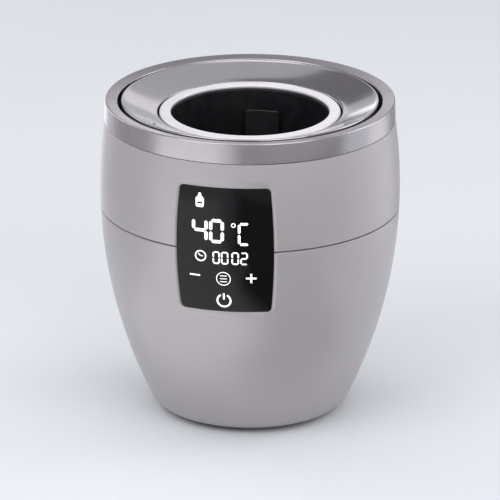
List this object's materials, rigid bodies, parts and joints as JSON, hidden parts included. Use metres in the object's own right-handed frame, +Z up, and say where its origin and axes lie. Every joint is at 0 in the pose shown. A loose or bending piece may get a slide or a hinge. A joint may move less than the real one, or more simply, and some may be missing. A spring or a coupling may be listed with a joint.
{
  "type": "bottle warmer",
  "caption": "Cup-shaped electric warmer with a round heating well, lift-out basket, lift-off splash dish and a curved touch display.",
  "frame": {"origin": "centre of the footprint, on the underside of the rubber feet", "axes": "+Z up along the well, -Y towards the display, +Y towards the cord entry"},
  "size_m": [0.1534, 0.1534, 0.165],
  "materials": {
    "body_abs": "satin",
    "trim_metal": "brushed",
    "dish_silver": "gloss",
    "ring_plastic": "satin",
    "base_plastic": "fine texture",
    "rubber": "matte",
    "screw_steel": "zinc plated",
    "window_glass": "polished",
    "mask_plastic": "matte",
    "led_white": "diffusing",
    "circuit_board": "solder resist",
    "spring_wire": "plated",
    "well_coating": "non-stick coating",
    "silicone": "matte",
    "basket_plastic": "fine texture",
    "aluminium": "as rolled",
    "ptc_ceramic": "insulating film",
    "fuse_case": "plated",
    "phenolic": "moulded",
    "relay_case": "moulded",
    "ferrite": "sintered",
    "capacitor_sleeve": "shrink sleeve",
    "film_box": "moulded",
    "terminal_plastic": "moulded",
    "wire_sleeve": "silicone sleeve",
    "ribbon_film": "film"
  },
  "bodies": {
    "housing": {"lower_shell": "body_abs", "upper_shell": "body_abs", "trim_ring": "trim_metal", "well_ring": "ring_plastic", "base_plate": "base_plastic", "rubber_feet": "rubber", "base_screws": "screw_steel", "display_window": "window_glass", "light_mask": "mask_plastic", "led_module": "led_white", "indicator_leds": "led_white", "touch_springs": "spring_wire", "touch_board": "circuit_board", "display_bracket": "base_plastic", "bracket_screws": "screw_steel", "display_ribbon": "ribbon_film", "heating_well": "well_coating", "well_gasket": "silicone", "well_carrier": "base_plastic", "carrier_screws": "screw_steel", "heat_shield": "aluminium", "heater_plate": "aluminium", "ptc_heaters": "ptc_ceramic", "heater_clamp": "aluminium", "heater_screws": "screw_steel", "thermal_fuse": "fuse_case", "cutout_thermostat": "phenolic", "temperature_sensor": "screw_steel", "sensor_bush": "silicone", "control_board": "circuit_board", "board_screws": "screw_steel", "relay": "relay_case", "transformer": "ferrite", "capacitor": "capacitor_sleeve", "film_capacitor": "film_box", "terminal_block": "terminal_plastic", "buzzer": "phenolic", "heater_leads": "wire_sleeve", "sensor_lead": "wire_sleeve", "cord_gland": "rubber"},
    "dish": {"splash_dish": "dish_silver"},
    "basket": {"jar_basket": "basket_plastic"}
  },
  "joints": [
    {"name": "dish_lift", "type": "slide", "parent": "housing", "child": "dish", "axis": [0, 0, 1], "range_m": [0, 0.03]},
    {"name": "basket_lift", "type": "slide", "parent": "housing", "child": "basket", "axis": [0, 0, 1], "range_m": [0, 0.1]}
  ]
}
